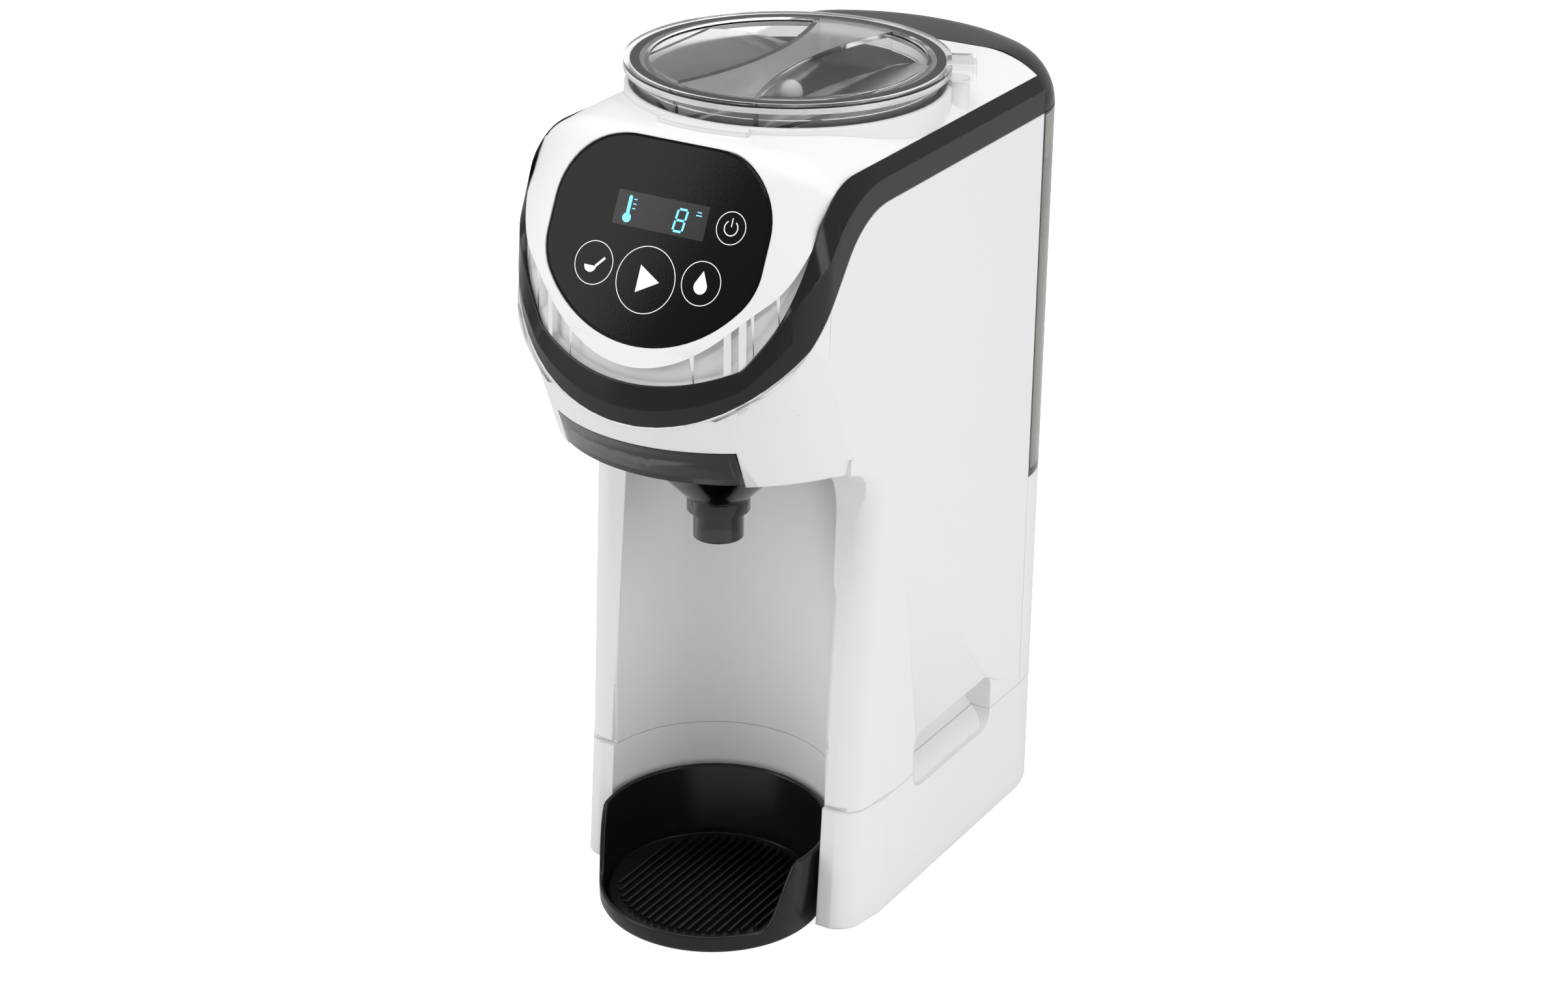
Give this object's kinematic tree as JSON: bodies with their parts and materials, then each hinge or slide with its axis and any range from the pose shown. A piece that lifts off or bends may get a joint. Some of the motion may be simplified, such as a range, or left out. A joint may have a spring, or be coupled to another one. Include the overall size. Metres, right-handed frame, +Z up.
{
  "type": "baby formula maker",
  "caption": "Upright countertop machine that doses powder and warm water into a feeding bottle, with a lift-out powder container, funnel drawer, drip tray and rear tank",
  "frame": {"origin": "middle of the footprint, on the surface the machine stands on", "axes": "+Z up, -Y to the front where the bottle stands, +X to the machine's left as it faces forward"},
  "size_m": [0.14, 0.266, 0.359],
  "materials": {
    "white_shell": "smooth moulded, satin gloss",
    "black_gloss": "polished moulded",
    "lens_black": "gloss black lens printed from behind",
    "display_glass": "dark display window",
    "board_green": "circuit board",
    "steel": "plain plated steel",
    "motor_steel": "plated motor can",
    "bronze": "sintered bearing metal",
    "aluminium_block": "cast aluminium",
    "well_plastic": "moulded inner part",
    "grey_plastic": "moulded inner part",
    "white_parts": "smooth moulded",
    "gear_plastic": "plain acetal",
    "clear_plastic": "clear moulded",
    "gasket": "soft pale silicone",
    "rubber": "soft dark rubber",
    "smoke_funnel": "smoky see-through moulded",
    "smoke_tank": "smoky see-through moulded",
    "pump_plastic": "glass-filled moulded",
    "hose": "milky silicone tube",
    "inlet_plastic": "moulded inlet"
  },
  "bodies": {
    "housing": {"base_plate": "grey_plastic", "rubber_feet": "rubber", "base_screws": "steel", "base_shell": "white_shell", "body_shell": "white_shell", "rear_cover": "white_shell", "trim_band": "black_gloss", "top_cover": "white_shell", "control_lens": "lens_black", "display_module": "display_glass", "control_board": "board_green", "board_screws": "steel", "container_well": "well_plastic", "shaft_bushes": "bronze", "drive_plate": "steel", "gear_motor": "motor_steel", "funnel_rails": "grey_plastic", "water_nozzle": "steel", "tank_seat": "grey_plastic", "tank_seal": "rubber", "water_pump": "pump_plastic", "heater_block": "aluminium_block", "water_hoses": "hose", "power_board": "board_green", "power_inlet": "inlet_plastic"},
    "drive": {"drive_gear": "gear_plastic", "drive_coupling": "steel"},
    "pinion": {"motor_pinion": "bronze"},
    "container": {"powder_container": "clear_plastic", "container_floor": "grey_plastic", "strike_plate": "white_parts"},
    "wheel": {"dosing_wheel": "white_parts", "stirrer": "white_parts"},
    "lid": {"container_lid": "clear_plastic", "lid_gasket": "gasket"},
    "funnel": {"funnel_drawer": "smoke_funnel", "funnel_cover": "smoke_funnel"},
    "tray": {"drip_tray": "black_gloss"},
    "grille": {"drip_grille": "black_gloss"},
    "tank": {"water_tank": "smoke_tank"},
    "tank_cap": {"tank_lid": "black_gloss"},
    "valve": {"tank_valve": "white_parts", "valve_spring": "steel"}
  },
  "joints": [
    {"name": "drive_turn", "type": "hinge", "parent": "housing", "child": "drive", "pos_m": [0, -0.009, 0.25], "axis": [0, 0, 1], "continuous": true},
    {"name": "pinion_turn", "type": "hinge", "parent": "housing", "child": "pinion", "pos_m": [0, 0.0303, 0.245], "axis": [0, 0, 1], "continuous": true},
    {"name": "container_lift", "type": "slide", "parent": "housing", "child": "container", "axis": [0, 0, 1], "range_m": [0, 0.12]},
    {"name": "wheel_turn", "type": "hinge", "parent": "container", "child": "wheel", "pos_m": [0, -0.009, 0.25], "axis": [0, 0, 1], "continuous": true},
    {"name": "lid_lift", "type": "slide", "parent": "container", "child": "lid", "axis": [0, 0, 1], "range_m": [0, 0.06]},
    {"name": "funnel_slide", "type": "slide", "parent": "housing", "child": "funnel", "axis": [0, -1, 0], "range_m": [0, 0.1]},
    {"name": "tray_slide", "type": "slide", "parent": "housing", "child": "tray", "axis": [0, -1, 0], "range_m": [0, 0.09]},
    {"name": "grille_lift", "type": "slide", "parent": "tray", "child": "grille", "axis": [0, 0, 1], "range_m": [0, 0.045]},
    {"name": "tank_lift", "type": "slide", "parent": "housing", "child": "tank", "axis": [0, 0, 1], "range_m": [0, 0.15]},
    {"name": "tank_lid_lift", "type": "slide", "parent": "tank", "child": "tank_cap", "axis": [0, 0, 1], "range_m": [0, 0.05]},
    {"name": "valve_travel", "type": "slide", "parent": "tank", "child": "valve", "axis": [0, 0, 1], "range_m": [0, 0.004], "stiffness_N_per_m": 250, "deforming": ["valve_spring"]}
  ],
  "couplings": [
    {"joint": "pinion_turn", "follows": "drive_turn", "ratio": -3.3333},
    {"joint": "wheel_turn", "follows": "drive_turn", "ratio": 1}
  ]
}
